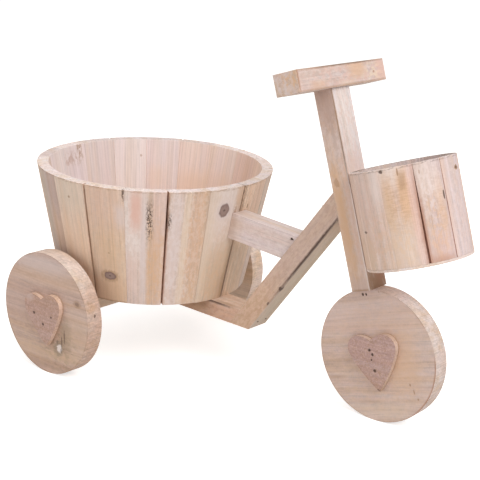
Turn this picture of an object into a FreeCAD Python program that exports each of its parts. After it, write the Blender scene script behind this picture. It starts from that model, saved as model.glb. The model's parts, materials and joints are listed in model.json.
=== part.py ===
import FreeCAD
import Part
import math
import os

Vector = FreeCAD.Vector

# Wheels: sawn discs. The rear pair turns just outside the tub, the front disc is fixed under the post.
wheel_diameter = 150.0
wheel_thickness = 22.0
wheel_gap = 9.7
wheelbase = 375.7

# Stance: the rail falls towards the front, the post leans back.
rail_fall = 3.1
post_lean = 15.8

# Tub: tapered staves around a floor disc.
tub_top_diameter = 293.0
tub_bottom_diameter = 235.0
tub_height = 146.6
tub_wall = 14.0
tub_staves = 18
tub_joint_gap = 1.8
tub_joint_depth = 5.0
tub_forward = 20.6
tub_above_axle = 21.0
tub_floor_thickness = 12.0
tub_floor_play = 0.3
drain_diameter = 10.0
drain_inset = 34.0

# Frame timber: one stock section, the rail planed thinner.
timber_thickness = 24.0
timber_width = 32.0
rail_height = 21.0
beam_front = 8.0
strut_foot_ahead = 29.7
strut_reach = 184.6
bar_height_on_tub = 98.0
bar_fall = 3.5
bar_seat = 0.6

# Post and handlebar, measured along the post from the front wheel's centre.
post_top = 294.8
rim_flat = 1.0
tenon_length = 24.0
tenon_width = 14.0
tenon_thickness = 10.0
handlebar_length = 158.0
handlebar_aside = 4.0

# Basket: straight staves on a thin base plate, planed flat where it meets the post.
# Its two open joints are given as gaps at the foot and at the rim.
basket_top_diameter = 114.0
basket_bottom_diameter = 114.0
basket_foot = 97.5
basket_rim = 202.9
basket_wall = 10.0
basket_staves = 10
basket_first_joint = -15.5
basket_narrow_stave = 31.3
basket_open_joint = (2.6, 0.4)
basket_fine_joint = (1.0, 0.8)
basket_joint_depth = 4.0
basket_seat = 0.4
basket_aside = 4.8
basket_plate = 3.0

# Hearts: one cut-out shape for all four.
heart_width = 63.0
heart_height = 63.0
heart_thickness = 7.0
rear_heart_tilt = 7.2
rear_heart_shift = 3.2
front_heart_shift = 0.6

# Brads and nails are square; their places are measured from the wheel's centre or the joint.
brad_size = 1.6
brad_bite = 7.0
rear_brads_at = [(-12.8, 0.0), (2.9, -11.2), (18.1, 0.6)]
front_brads_at = [(-4.8, 7.8), (-0.7, 3.7), (-1.3, -2.8), (3.5, -14.2)]
pin_brads_at = [-2.2, 2.2]
pin_brad_drop = 5.3
plate_brad_length = 18.0
nail_size = 2.2
nail_bite = 24.0
nail_spread = 15.0
toe_nail_length = 26.0
toe_nail_back = 8.0
toe_nail_rise = 0.69
toe_nail_slant = 0.4
strut_nail_drop = 14.0

# Screws.
screw_diameter = 4.0
floor_screw_length = 28.0
beam_screw_spread = 120.0
rail_screws_ahead = (30.0, 80.0)
basket_screw_length = 28.0
basket_screw_inset = 22.0

# Rear axles: a screw in each beam end, with washers either side of the wheel.
axle_diameter = 6.0
axle_play = 0.05
side_play = 0.3
axle_grip = 45.0
axle_head_diameter = 11.0
axle_head_height = 4.0
washer_diameter = 16.0
washer_thickness = 1.2
spacer_diameter = 20.0
spacer_thickness = 1.5
counterbore_diameter = 19.0
counterbore_depth = 9.0

wheel_radius = wheel_diameter / 2
half_post = timber_thickness / 2
tub_top_radius = tub_top_diameter / 2
tub_bottom_radius = tub_bottom_diameter / 2
tub_top = tub_above_axle + tub_height
tub_floor_top = tub_above_axle + tub_floor_thickness
rail_bottom = tub_above_axle - rail_height
taper = (tub_top_radius - tub_bottom_radius) / tub_height
tub_beside_wheel = tub_bottom_radius + taper * (wheel_radius - tub_above_axle)
wheel_inside = tub_beside_wheel + wheel_gap
wheel_outside = wheel_inside + wheel_thickness
beam_end = wheel_inside - side_play - spacer_thickness
shoulder = wheel_radius - rim_flat
basket_top_radius = basket_top_diameter / 2
basket_bottom_radius = basket_bottom_diameter / 2
basket_floor_top = basket_foot + basket_plate
basket_back = half_post - basket_seat
basket_axis = basket_back + basket_bottom_radius
basket_slope = math.atan2(basket_top_radius - basket_bottom_radius, basket_rim - basket_floor_top)
basket_angle = (360 - basket_narrow_stave) / (basket_staves - 1)
up = Vector(0, 0, 1)
side = Vector(0, 1, 0)
origin = Vector(0, 0, 0)

pieces = {}


def rail_point(x, z):
    """A point along and above the rail's own axes, turned into level axes."""
    a = math.radians(rail_fall)
    return Vector(x * math.cos(a) + z * math.sin(a), 0, z * math.cos(a) - x * math.sin(a))


def post_point(forward, along, y=0.0):
    """A point measured from the front wheel's centre in the post's own axes."""
    a = math.radians(post_lean)
    x = wheelbase + forward * math.cos(a) - along * math.sin(a)
    return Vector(x, y, forward * math.sin(a) + along * math.cos(a))


def meet(p, p_way, q, q_way):
    """Where two lines in the side view cross."""
    gap = q - p
    k = (gap.x * q_way.z - gap.z * q_way.x) / (p_way.x * q_way.z - p_way.z * q_way.x)
    return p + p_way * k


def side_prism(points, width):
    """A board from its outline in the side view, centred on the middle plane."""
    face = Part.Face(Part.makePolygon(points + [points[0]]))
    face.translate(Vector(0, -width / 2, 0))
    return face.extrude(Vector(0, width, 0))


def on_rail(shape):
    """Tilts a shape drawn in the rail's axes."""
    shape.rotate(origin, side, rail_fall)
    return shape


def on_post(shape):
    """Leans a shape drawn in the post's axes and moves it over the front wheel."""
    shape.rotate(origin, side, -post_lean)
    shape.translate(Vector(wheelbase, 0, 0))
    return shape


def on_basket(shape):
    """Tips a shape drawn in the basket's axes, so that a tapered back wall still lies along the post."""
    shape.rotate(Vector(basket_back, 0, basket_floor_top), side, math.degrees(basket_slope))
    return shape


def basket_front(radius, along):
    """The foremost point of the basket at a height along its axis."""
    spot = Part.Vertex(basket_axis + radius, 0, along)
    return on_post(on_basket(spot)).Point


def box(x, y, z):
    """A box from three (low, high) pairs."""
    return Part.makeBox(x[1] - x[0], y[1] - y[0], z[1] - z[0], Vector(x[0], y[0], z[0]))


def disc(radius, y_from, y_to):
    """A round disc lying across the middle plane, on the wheel axis."""
    return Part.makeCylinder(radius, y_to - y_from, Vector(0, y_from, 0), side)


def stave(low, high, thickness, z_from, z_to, start, angle):
    """One stave: a slice of a tapered ring, its two edges cut to the centre."""
    points = [Vector(low, 0, z_from), Vector(high, 0, z_to)]
    points += [Vector(high - thickness, 0, z_to), Vector(low - thickness, 0, z_from)]
    slice_face = Part.Face(Part.makePolygon(points + [points[0]]))
    solid = slice_face.revolve(origin, up, angle)
    solid.rotate(origin, up, start)
    return solid


def groove(low, high, depth, z_from, z_to, at, low_gap, high_gap):
    """The open outer part of a joint between two staves, wedge shaped if the gaps differ."""
    ends = []
    for radius, z, gap in ((low, z_from - 1, low_gap), (high, z_to + 1, high_gap)):
        corners = [Vector(radius - depth, -gap / 2, z), Vector(radius + depth, -gap / 2, z)]
        corners += [Vector(radius + depth, gap / 2, z), Vector(radius - depth, gap / 2, z)]
        ends.append(Part.makePolygon(corners + [corners[0]]))
    solid = Part.makeLoft(ends, True, True)
    solid.rotate(origin, up, at)
    return solid


def nail(head, way, length, size):
    """A square nail from its head, driven the given way."""
    solid = Part.makeBox(size, size, length, Vector(-size / 2, -size / 2, 0))
    solid.Placement = FreeCAD.Placement(head, FreeCAD.Rotation(up, way))
    return solid


def screw(head, way, length):
    """A countersunk screw from the middle of its head."""
    radius = screw_diameter / 2
    solid = Part.makeCone(2 * radius, radius, radius).fuse(Part.makeCylinder(radius, length))
    solid = solid.removeSplitter()
    solid.Placement = FreeCAD.Placement(head, FreeCAD.Rotation(up, way))
    return solid


def drive(node, fasteners, *names):
    """Keeps fasteners as one node and sinks their holes into the named pieces."""
    pieces[node] = Part.makeCompound(fasteners)
    for name in names:
        pieces[name] = pieces[name].cut(pieces[node])


def heart(tilt, shift):
    """A heart standing on the outside of a wheel face at y = 0, facing -Y."""
    w = heart_width / 64
    h = heart_height / 64
    half = [(0, 19.5), (9, 24.3), (20, 25.5), (28.5, 21), (32, 11.5)]
    half += [(29, 1), (20, -14.2), (9.5, -28.3), (0, -38.5)]
    edges = []
    for turn in (1, -1):
        curve = Part.BSplineCurve()
        curve.interpolate([Vector(turn * x * w, 0, z * h) for x, z in half])
        edges.append(curve.toShape())
    solid = Part.Face(Part.Wire(Part.__sortEdges__(edges))).extrude(Vector(0, -heart_thickness, 0))
    solid.translate(Vector(shift, 0, 0))
    solid.rotate(origin, side, -tilt)
    return solid


def mirrored(shape):
    return shape.mirror(origin, side)


# Under-frame: the beam crosses behind the rail, the rail runs forward to the strut.
rail_way = rail_point(1, 0)
beam = box((beam_front - timber_thickness, beam_front), (-beam_end, beam_end),
           (tub_above_axle - timber_width, tub_above_axle))
pieces["axle_beam"] = on_rail(beam)

post_way = post_point(0, 1) - post_point(0, 0)
post_back = post_point(-half_post, 0)
strut_top = post_point(-half_post, strut_reach)
underside = rail_point(0, rail_bottom)
strut_foot = rail_point(tub_forward + tub_bottom_radius + strut_foot_ahead, rail_bottom)
strut_way = strut_top - strut_foot
strut_way.normalize()
strut_front = Vector(strut_way.z, 0, -strut_way.x) * timber_thickness
strut_toe = meet(strut_top + strut_front, strut_way, underside, rail_way)
strut_chin = meet(strut_top + strut_front, strut_way, post_back, post_way)
pieces["strut"] = side_prism([strut_top, strut_chin, strut_toe, strut_foot], timber_width)

rail_end = meet(strut_top, strut_way, rail_point(0, tub_above_axle), rail_way)
rail_start = [rail_point(beam_front, rail_bottom), rail_point(beam_front, tub_above_axle)]
pieces["rail"] = side_prism(rail_start + [rail_end, strut_foot], timber_width)

# Top bar: its back end sits in a shallow flat planed across the tub's front joint.
tub_front_low = rail_point(tub_forward + tub_bottom_radius, tub_above_axle)
tub_front_high = rail_point(tub_forward + tub_top_radius, tub_top)
tub_slope = tub_front_high - tub_front_low
tub_slope.normalize()
seat = tub_front_low - Vector(tub_slope.z, 0, -tub_slope.x) * bar_seat
bar_middle = meet(seat, tub_slope, rail_point(0, tub_above_axle + bar_height_on_tub), rail_way)
bar_drop = math.radians(bar_fall)
bar_way = rail_point(math.cos(bar_drop), -math.sin(bar_drop))
bar_half = rail_point(math.sin(bar_drop), math.cos(bar_drop)) * (timber_width / 2)
bar_ends = [meet(bar_middle + bar_half, bar_way, seat, tub_slope)]
bar_ends.append(meet(bar_middle + bar_half, bar_way, strut_top, strut_way))
bar_ends.append(meet(bar_middle - bar_half, bar_way, strut_top, strut_way))
bar_ends.append(meet(bar_middle - bar_half, bar_way, seat, tub_slope))
pieces["top_bar"] = side_prism(bar_ends, timber_thickness)

# Tub: every second joint has opened on the outside, the joints between are tight.
stave_angle = 360.0 / tub_staves
for number in range(1, tub_staves + 1):
    start = stave_angle * (number - 1)
    solid = stave(tub_bottom_radius, tub_top_radius, tub_wall, tub_above_axle, tub_top, start, stave_angle)
    open_at = start if number % 2 else start + stave_angle
    solid = solid.cut(groove(tub_bottom_radius, tub_top_radius, tub_joint_depth, tub_above_axle, tub_top,
                             open_at, tub_joint_gap, tub_joint_gap))
    solid.translate(Vector(tub_forward, 0, 0))
    solid = on_rail(solid)
    if number in (1, tub_staves):
        solid = solid.cut(pieces["top_bar"])
    pieces["tub_stave_%02d" % number] = solid

floor_low = tub_bottom_radius - tub_wall - tub_floor_play
floor_high = floor_low + taper * tub_floor_thickness
tub_floor = Part.makeCone(floor_low, floor_high, tub_floor_thickness, Vector(tub_forward, 0, tub_above_axle))
drain_ring = floor_low - drain_inset
for turn in (45, 135, 225, 315):
    a = math.radians(turn)
    at = Vector(tub_forward + drain_ring * math.cos(a), drain_ring * math.sin(a), tub_above_axle - 1)
    tub_floor = tub_floor.cut(Part.makeCylinder(drain_diameter / 2, tub_floor_thickness + 2, at))
pieces["tub_floor"] = on_rail(tub_floor)

# Post and handlebar: the post's shoulder stands on a flat sawn on the front wheel's rim.
half_width = timber_width / 2
post = box((-half_post, half_post), (-half_width, half_width), (shoulder, post_top))
tenon = box((-tenon_width / 2, tenon_width / 2), (-tenon_thickness / 2, tenon_thickness / 2),
            (shoulder - tenon_length, shoulder))
pieces["steering_post"] = on_post(post.fuse(tenon).removeSplitter())
handlebar_half = handlebar_length / 2
handlebar_ends = (handlebar_aside - handlebar_half, handlebar_aside + handlebar_half)
handlebar = box((-half_width, half_width), handlebar_ends, (post_top, post_top + timber_thickness))
pieces["handlebar"] = on_post(handlebar)

half_wheel = wheel_thickness / 2
front_wheel = disc(wheel_radius, -half_wheel, half_wheel)
above_flat = box((-wheel_radius, wheel_radius), (-half_wheel, half_wheel), (shoulder, wheel_radius))
pieces["front_wheel"] = on_post(front_wheel.cut(above_flat).cut(tenon))

# Basket: staves and base plate share the flat against the post. The last stave is narrower than the rest.
reach = basket_top_diameter + basket_bottom_diameter
post_side = box((-reach, half_post), (-reach, reach), (basket_foot - reach, basket_rim + reach))
for number in range(1, basket_staves + 1):
    start = basket_first_joint + basket_angle * (number - 1)
    width = basket_narrow_stave if number == basket_staves else basket_angle
    solid = stave(basket_bottom_radius, basket_top_radius, basket_wall, basket_floor_top, basket_rim,
                  start, width)
    for at, low_gap, high_gap in ((basket_first_joint, *basket_fine_joint),
                                  (basket_first_joint - basket_narrow_stave, *basket_open_joint)):
        solid = solid.cut(groove(basket_bottom_radius, basket_top_radius, basket_joint_depth,
                                 basket_floor_top, basket_rim, at, low_gap, high_gap))
    solid.translate(Vector(basket_axis, basket_aside, 0))
    pieces["basket_stave_%02d" % number] = on_post(on_basket(solid).cut(post_side))
plate = Part.makeCylinder(basket_bottom_radius, basket_plate, Vector(basket_axis, basket_aside, basket_foot))
pieces["basket_floor"] = on_post(on_basket(plate).cut(post_side))

# Rear wheels: bored to run on a screw, its head and washer sunk under the heart.
rear_wheel = disc(wheel_radius, -wheel_outside, -wheel_inside)
rear_wheel = rear_wheel.cut(disc(axle_diameter / 2 + axle_play, -wheel_outside, -wheel_inside))
sink = wheel_outside - counterbore_depth
rear_wheel = rear_wheel.cut(disc(counterbore_diameter / 2, -wheel_outside, -sink))
pieces["right_rear_wheel"] = rear_wheel
rear_heart = heart(rear_heart_tilt, rear_heart_shift)
rear_heart.translate(Vector(0, -wheel_outside, 0))
pieces["right_rear_heart"] = rear_heart

washer_top = sink + side_play + washer_thickness
axle = disc(axle_diameter / 2, -washer_top, axle_grip - beam_end)
axle = axle.fuse(disc(axle_head_diameter / 2, -washer_top - axle_head_height, -washer_top)).removeSplitter()
head_washer = disc(washer_diameter / 2, -washer_top, -sink - side_play)
spacer = disc(spacer_diameter / 2, -beam_end - spacer_thickness, -beam_end)
bore = disc(axle_diameter / 2, -wheel_outside, 0)
pieces["axle_washers"] = Part.makeCompound([piece.cut(bore) for piece in (head_washer, spacer)] +
                                           [mirrored(piece.cut(bore)) for piece in (head_washer, spacer)])
drive("axle_screws", [axle, mirrored(axle)], "axle_beam")

# Front hearts follow the post's lean.
front_heart = heart(post_lean, front_heart_shift)
front_heart.translate(Vector(wheelbase, -half_wheel, 0))
pieces["right_front_heart"] = front_heart
pieces["left_front_heart"] = mirrored(front_heart)

# Brads through the hearts, and through the rim into the post's tenon.
brad_length = heart_thickness + brad_bite
rear_brads = [nail(Vector(x, -wheel_outside - heart_thickness, z), side, brad_length, brad_size)
              for x, z in rear_brads_at]
drive("right_rear_heart_brads", rear_brads, "right_rear_wheel", "right_rear_heart")
for name in ("rear_wheel", "rear_heart", "rear_heart_brads"):
    pieces["left_" + name] = mirrored(pieces["right_" + name])

front_brads = [nail(Vector(wheelbase + x, -half_wheel - heart_thickness, z), side, brad_length, brad_size)
               for x, z in front_brads_at]
front_brads += [mirrored(piece) for piece in front_brads]
drive("front_heart_brads", front_brads, "front_wheel", "right_front_heart", "left_front_heart")

pin_length = half_wheel + tenon_thickness / 2
pins = [nail(post_point(forward, shoulder - pin_brad_drop, -half_wheel), side, pin_length, brad_size)
        for forward in pin_brads_at]
drive("front_pin_brads", pins, "front_wheel", "steering_post")

# Nails of the frame, in pairs either side of the middle plane.
handlebar_top = post_top + timber_thickness
nail_side = nail_spread / 2
nails = [nail(post_point(0, handlebar_top, y), post_way * -1, timber_thickness + nail_bite, nail_size)
         for y in (-nail_side, nail_side)]
drive("handlebar_nails", nails, "handlebar", "steering_post")

rail_middle = (rail_bottom + tub_above_axle) / 2
post_depth = post_point(-1, 0) - post_point(0, 0)
bar_nail_line = bar_middle + bar_half * toe_nail_rise
bar_tip = meet(bar_nail_line, bar_way, strut_top, strut_way) - bar_way * toe_nail_back
seat_normal = Vector(tub_slope.z, 0, -tub_slope.x)
square_wall = tub_wall * tub_slope.z
bar_root = (bar_ends[0] + bar_ends[3]) * 0.5 + seat_normal * (bar_seat - square_wall)
toe_front = meet(strut_top + strut_front, strut_way, rail_point(0, rail_middle), rail_way)
toe_depth = (toe_front - meet(strut_top, strut_way, toe_front, rail_way)).Length
beam_back = rail_point(beam_front - timber_thickness, rail_middle)
strut_nail = post_point(half_post, strut_reach - strut_nail_drop)
nails = []
for way in (-1, 1):
    slant = bar_way - side * (way * toe_nail_slant)
    shift = side * (way * nail_side)
    nails.append(nail(bar_tip + side * (way * half_post), slant, toe_nail_length, nail_size))
    nails.append(nail(bar_root + shift, seat_normal, square_wall + nail_bite, nail_size))
    nails.append(nail(strut_nail + shift, post_depth, timber_thickness + nail_bite, nail_size))
    nails.append(nail(toe_front + shift, rail_way * -1, toe_depth + nail_bite, nail_size))
    nails.append(nail(beam_back + shift, rail_way, timber_thickness + nail_bite, nail_size))
drive("frame_nails", nails, "top_bar", "strut", "steering_post", "rail", "axle_beam", "tub_stave_01",
      "tub_stave_%02d" % tub_staves)

# Screws and brads that hold the two floors and the basket.
beam_line = beam_front - timber_thickness / 2
screws_at = [(beam_line, -beam_screw_spread / 2), (beam_line, beam_screw_spread / 2)]
screws_at += [(tub_forward + ahead, 0) for ahead in rail_screws_ahead]
screws = [screw(rail_point(x, tub_floor_top) + side * y, rail_point(0, -1), floor_screw_length)
          for x, y in screws_at]
drive("tub_floor_screws", screws, "tub_floor", "axle_beam", "rail")

screws = []
basket_inside = basket_back + basket_wall * math.cos(basket_slope)
for along in (basket_floor_top + basket_screw_inset, basket_rim - basket_screw_inset):
    head = post_point(basket_inside, along, basket_aside)
    screws.append(screw(head, post_depth, basket_screw_length))
back_stave = 1 + int((180 - basket_first_joint) // basket_angle)
drive("basket_screws", screws, "basket_stave_%02d" % back_stave, "steering_post")

plate_brads = []
plate_holders = ["basket_floor"]
plate_ring = basket_bottom_radius - basket_wall / 2
for number in range(1, basket_staves + 1):
    width = basket_narrow_stave if number == basket_staves else basket_angle
    a = math.radians(basket_first_joint + basket_angle * (number - 1) + width / 2)
    if number != back_stave:
        spot = Vector(basket_axis + plate_ring * math.cos(a), plate_ring * math.sin(a), basket_foot)
        brad = nail(spot + side * basket_aside, up, plate_brad_length, brad_size)
        plate_brads.append(on_post(on_basket(brad)))
        plate_holders.append("basket_stave_%02d" % number)
drive("basket_floor_brads", plate_brads, *plate_holders)

# The whole stands on the floor with the middle of its length over the origin.
back = min(rail_point(tub_forward - tub_top_radius, tub_top).x, -wheel_radius)
front = max(wheelbase + wheel_radius, basket_front(basket_bottom_radius, basket_foot).x,
            basket_front(basket_top_radius, basket_rim).x)
stand = Vector(-(back + front) / 2, 0, wheel_radius)

os.makedirs("parts", exist_ok=True)
for name, shape in sorted(pieces.items()):
    shape.translate(stand)
    shape.exportStep("parts/" + name + ".step")
    state = "valid" if shape.isValid() else "NOT VALID"
    print(name, len(shape.Solids), "solids", round(shape.Volume / 1000, 2), "cm3", state)
print("axle x", round(stand.x, 3), "length", round(front - back, 2))
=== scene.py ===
# %% [markdown]
# A tricycle planter in raw fir. The solids arrive finished: every stave, board, disc, heart and
# brad is already at its real size and place. This lesson dresses them: a camera where the
# photographer stood, soft light, and a wood that knows which way each piece was sawn.

# %% The frame
import json
import math

import bpy
from mathutils import Matrix, Vector


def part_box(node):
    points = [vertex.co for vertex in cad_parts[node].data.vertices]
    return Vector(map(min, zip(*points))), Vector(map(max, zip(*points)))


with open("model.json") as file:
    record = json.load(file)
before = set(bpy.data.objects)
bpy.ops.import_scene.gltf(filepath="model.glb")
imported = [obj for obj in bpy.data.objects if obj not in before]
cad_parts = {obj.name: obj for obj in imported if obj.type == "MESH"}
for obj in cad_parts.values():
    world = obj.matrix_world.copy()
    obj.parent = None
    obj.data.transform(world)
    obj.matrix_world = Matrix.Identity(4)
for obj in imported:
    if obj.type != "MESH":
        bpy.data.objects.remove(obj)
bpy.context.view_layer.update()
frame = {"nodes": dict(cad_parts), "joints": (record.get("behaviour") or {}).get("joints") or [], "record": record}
nodes = frame["nodes"]

# %% [markdown]
# The planter is drawn in two tilted sets of axes. The rail and the tub fall a little towards the
# front, and the post with its basket leans back. Each piece could be unwrapped by hand instead.
# Short vectors are kept, because wood grain has to follow the board and not the room. Sizes here
# and below are in millimetres, and mm turns them into Blender's metres.

# %% Axes of the planter
mm = 0.001
rail_fall = math.radians(3.1)
post_lean = math.radians(15.8)
left = Vector((0, 1, 0))


def climbing(angle):
    """A direction in the side view, by its climb towards the front."""
    return Vector((math.cos(angle), 0, math.sin(angle)))


tub_ahead = climbing(-rail_fall)
tub_up = climbing(math.pi / 2 - rail_fall)
post_ahead = climbing(post_lean)
post_up = climbing(math.pi / 2 + post_lean)

tub_floor_thickness = 12
basket_ahead = 68.6
basket_rise = 100.5
basket_aside = 4.8

axle = Vector(frame["joints"][0]["pos_m"])
tub_foot = Vector(frame["record"]["mounts"][0]["pos_m"]) - tub_up * tub_floor_thickness * mm
wheel_low, wheel_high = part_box("front_wheel")
hub = Vector(((wheel_low.x + wheel_high.x) / 2, 0, axle.z))
basket_foot = hub + post_ahead * basket_ahead * mm + post_up * basket_rise * mm
basket_foot = basket_foot + left * basket_aside * mm
print("rear axle", axle, "front hub", hub, "tub foot", tub_foot)

# %% [markdown]
# The camera stands to the planter's right and a little ahead of it, just above the handlebar.
# It could be aimed by eye. Its place, tilt and lens come from fitting the wheel rims, the tub and
# the post instead, because a fit also gives the slight roll of the picture.

# %% Camera
camera_place = Vector((0.85031, -1.01088, 0.52290))
camera_turn = math.radians(40.325)
camera_down = math.radians(15.059)
camera_roll = math.radians(0.765)
camera_lens = 86.502
sensor_width = 36

toward = Vector((math.sin(camera_turn) * math.cos(camera_down),
                 -math.cos(camera_turn) * math.cos(camera_down), math.sin(camera_down)))
level = Vector((math.cos(camera_turn), math.sin(camera_turn), 0))
plumb = toward.cross(level)
right = level * math.cos(camera_roll) + plumb * math.sin(camera_roll)
above = plumb * math.cos(camera_roll) - level * math.sin(camera_roll)

camera = bpy.data.objects.new("camera", bpy.data.cameras.new("camera"))
camera.data.lens = camera_lens
camera.data.sensor_width = sensor_width
camera.matrix_world = Matrix((right, above, toward)).transposed().to_4x4()
camera.matrix_world.translation = camera_place
bpy.context.scene.collection.objects.link(camera)
bpy.context.scene.camera = camera
bpy.context.scene.view_settings.view_transform = "Standard"
print("camera", camera_place, "lens", camera_lens)

# %% [markdown]
# A shader is a small flow chart, and a long one is hard to read as boxes. The class below wraps
# one output socket, so that a sum of two sockets adds the Math node by itself. Every other node
# comes from one method, which sets a node up first and then fills its sockets.

# %% Shader arithmetic


class Wire:
    """An output socket that can be added, multiplied and fed to other nodes."""

    def __init__(self, tree, socket=None):
        self.tree = tree
        self.socket = socket

    def node(self, kind, settings=None, inputs=None, output=0):
        """A new node: its settings, then the values or links of its sockets."""
        made = self.tree.nodes.new(kind)
        for name, value in (settings or {}).items():
            setattr(made, name, value)
        for name, value in (inputs or {}).items():
            if isinstance(value, Wire):
                self.tree.links.new(value.socket, made.inputs[name])
            else:
                made.inputs[name].default_value = value
        return Wire(self.tree, made.outputs[output] if made.outputs else None)

    def maths(self, operation, *terms):
        return self.node("ShaderNodeMath", {"operation": operation}, dict(enumerate(terms)))

    def __add__(self, other):
        return self.maths("ADD", self, other)

    def __radd__(self, other):
        return self.maths("ADD", other, self)

    def __sub__(self, other):
        return self.maths("SUBTRACT", self, other)

    def __rsub__(self, other):
        return self.maths("SUBTRACT", other, self)

    def __mul__(self, other):
        return self.maths("MULTIPLY", self, other)

    def __rmul__(self, other):
        return self.maths("MULTIPLY", other, self)

    def __truediv__(self, other):
        return self.maths("DIVIDE", self, other)

    def __rtruediv__(self, other):
        return self.maths("DIVIDE", other, self)

    def __abs__(self):
        return self.maths("ABSOLUTE", self)


print("made Wire, for sums and products of sockets")

# %% [markdown]
# A few words used again and again: cut a value between two limits with a soft edge, lay one
# colour over another, measure along a direction, and read a noise stretched along the grain.

# %% Shader words


def between(value, low, high):
    """0 below low, 1 above high, soft in between."""
    return value.node("ShaderNodeMapRange", {"interpolation_type": "SMOOTHSTEP"},
                      {"Value": value, "From Min": low, "From Max": high})


def laid(under, over, share):
    """One colour over another, by a share."""
    under = under if isinstance(under, Wire) else (*under, 1.0)
    over = over if isinstance(over, Wire) else (*over, 1.0)
    return share.node("ShaderNodeMix", {"data_type": "RGBA"}, {0: share, 6: under, 7: over}, 2)


def scaled(colour, by):
    """A colour made brighter or darker by a value."""
    return by.node("ShaderNodeVectorMath", {"operation": "SCALE"}, {0: colour, "Scale": by})


def tinted(colour, tint):
    return colour.node("ShaderNodeVectorMath", {"operation": "MULTIPLY"}, {0: colour, 1: tint})


def measured(vector, way):
    """How far a vector goes along a direction."""
    return vector.node("ShaderNodeVectorMath", {"operation": "DOT_PRODUCT"},
                       {0: vector, 1: tuple(way)}, "Value")


def moved(vector, by):
    by = by if isinstance(by, Wire) else tuple(by)
    return vector.node("ShaderNodeVectorMath", {"operation": "ADD"}, {0: vector, 1: by})


def joined(x, y, z):
    return x.node("ShaderNodeCombineXYZ", {}, {0: x, 1: y, 2: z})


def in_axes(vector, ways):
    """A vector measured along three directions."""
    return joined(*[measured(vector, way) for way in ways])


def length(along, across):
    square = along * along + across * across
    return square.maths("SQRT", square)


def cloudy(vector, scale, detail=2, roughness=0.5, away=None):
    """Noise, its scale in counts per metre, moved away where it must not match another."""
    if away:
        vector = moved(vector, away)
    stretched = vector.node("ShaderNodeVectorMath", {"operation": "MULTIPLY"}, {0: vector, 1: scale})
    return vector.node("ShaderNodeTexNoise", {}, {"Vector": stretched, "Scale": 1.0, "Detail": detail,
                                                  "Roughness": roughness}, "Fac")


print("made between, laid, scaled, tinted, measured, moved, joined, in_axes, length and cloudy")

# %% [markdown]
# The studio is plain: a wide pale floor, a white surround that only the camera, gloss and glass
# can see, and a dim even surround for everything else. The floor keeps a soft shadow of the
# planter, and glows a little for the camera so that the bare part of it comes out white.

# %% Floor and surround
surround_strength = 0.52
surround_tint = (1, 0.98, 0.96, 1)
plain_white = (1, 1, 1, 1)
floor_tint = (0.80, 0.79, 0.78, 1)
floor_glow = 0.66
floor_half = 15.0


def seen_directly(wire):
    """1 for rays that show the background: from the camera, off gloss or through glass."""
    rays = [wire.node("ShaderNodeLightPath", {}, {}, name)
            for name in ("Is Camera Ray", "Is Glossy Ray", "Is Transmission Ray")]
    return wire.maths("MAXIMUM", rays[0], wire.maths("MAXIMUM", rays[1], rays[2]))


world = bpy.data.worlds.new("surround")
world.use_nodes = True
world.node_tree.nodes.clear()
sky = Wire(world.node_tree)
dim = sky.node("ShaderNodeBackground", {}, {"Color": surround_tint, "Strength": surround_strength})
white = sky.node("ShaderNodeBackground", {}, {"Color": plain_white, "Strength": 1.0})
sky.node("ShaderNodeOutputWorld", {}, {
    "Surface": sky.node("ShaderNodeMixShader", {}, {0: seen_directly(sky), 1: dim, 2: white})})
bpy.context.scene.world = world

floor_mesh = bpy.data.meshes.new("floor")
corners = [(-floor_half, -floor_half, 0), (floor_half, -floor_half, 0),
           (floor_half, floor_half, 0), (-floor_half, floor_half, 0)]
floor_mesh.from_pydata(corners, [], [(0, 1, 2, 3)])
floor = bpy.data.objects.new("floor", floor_mesh)
bpy.context.scene.collection.objects.link(floor)

floor_paint = bpy.data.materials.new("floor_paint")
floor_paint.use_nodes = True
floor_paint.node_tree.nodes.clear()
ground = Wire(floor_paint.node_tree)
matt = ground.node("ShaderNodeBsdfDiffuse", {}, {"Color": floor_tint})
glow = ground.node("ShaderNodeEmission", {}, {"Color": plain_white, "Strength": floor_glow})
lit = ground.node("ShaderNodeAddShader", {}, {0: matt, 1: glow})
ground.node("ShaderNodeOutputMaterial", {}, {
    "Surface": ground.node("ShaderNodeMixShader", {}, {0: seen_directly(ground), 1: matt, 2: lit})})
floor.data.materials.append(floor_paint)
print("floor", 2 * floor_half, "m wide")

# %% [markdown]
# The light comes softly from the right of the picture, high and a little ahead, so faces that
# look forward are the palest and the planter's right side is a shade deeper. A lamp overhead
# lifts the rim and the inside of the tub, and a weak wide one on the photographer's side keeps
# the wheels from going flat. Small lamps would be simpler, but their shadows would be hard.

# %% Lamps


def soft_lamp(name, place, aim, size, power, colour):
    """A square lamp that points at a spot."""
    data = bpy.data.lights.new(name, "AREA")
    data.size = size
    data.energy = power
    data.color = colour
    lamp = bpy.data.objects.new(name, data)
    lamp.location = place
    lamp.rotation_euler = (Vector(aim) - Vector(place)).to_track_quat("-Z", "Y").to_euler()
    bpy.context.scene.collection.objects.link(lamp)


middle = (0.0, 0.0, 0.2)
warm = (1.0, 0.985, 0.97)
neutral = (1.0, 1.0, 1.0)
soft_lamp("key_lamp", place=(1.9, -0.6, 2.2), aim=middle, size=1.6, power=48, colour=warm)
soft_lamp("top_lamp", place=(0.1, -0.2, 2.6), aim=middle, size=1.8, power=10, colour=neutral)
soft_lamp("fill_lamp", place=(-0.6, -2.4, 1.2), aim=middle, size=2.0, power=8, colour=warm)

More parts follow.
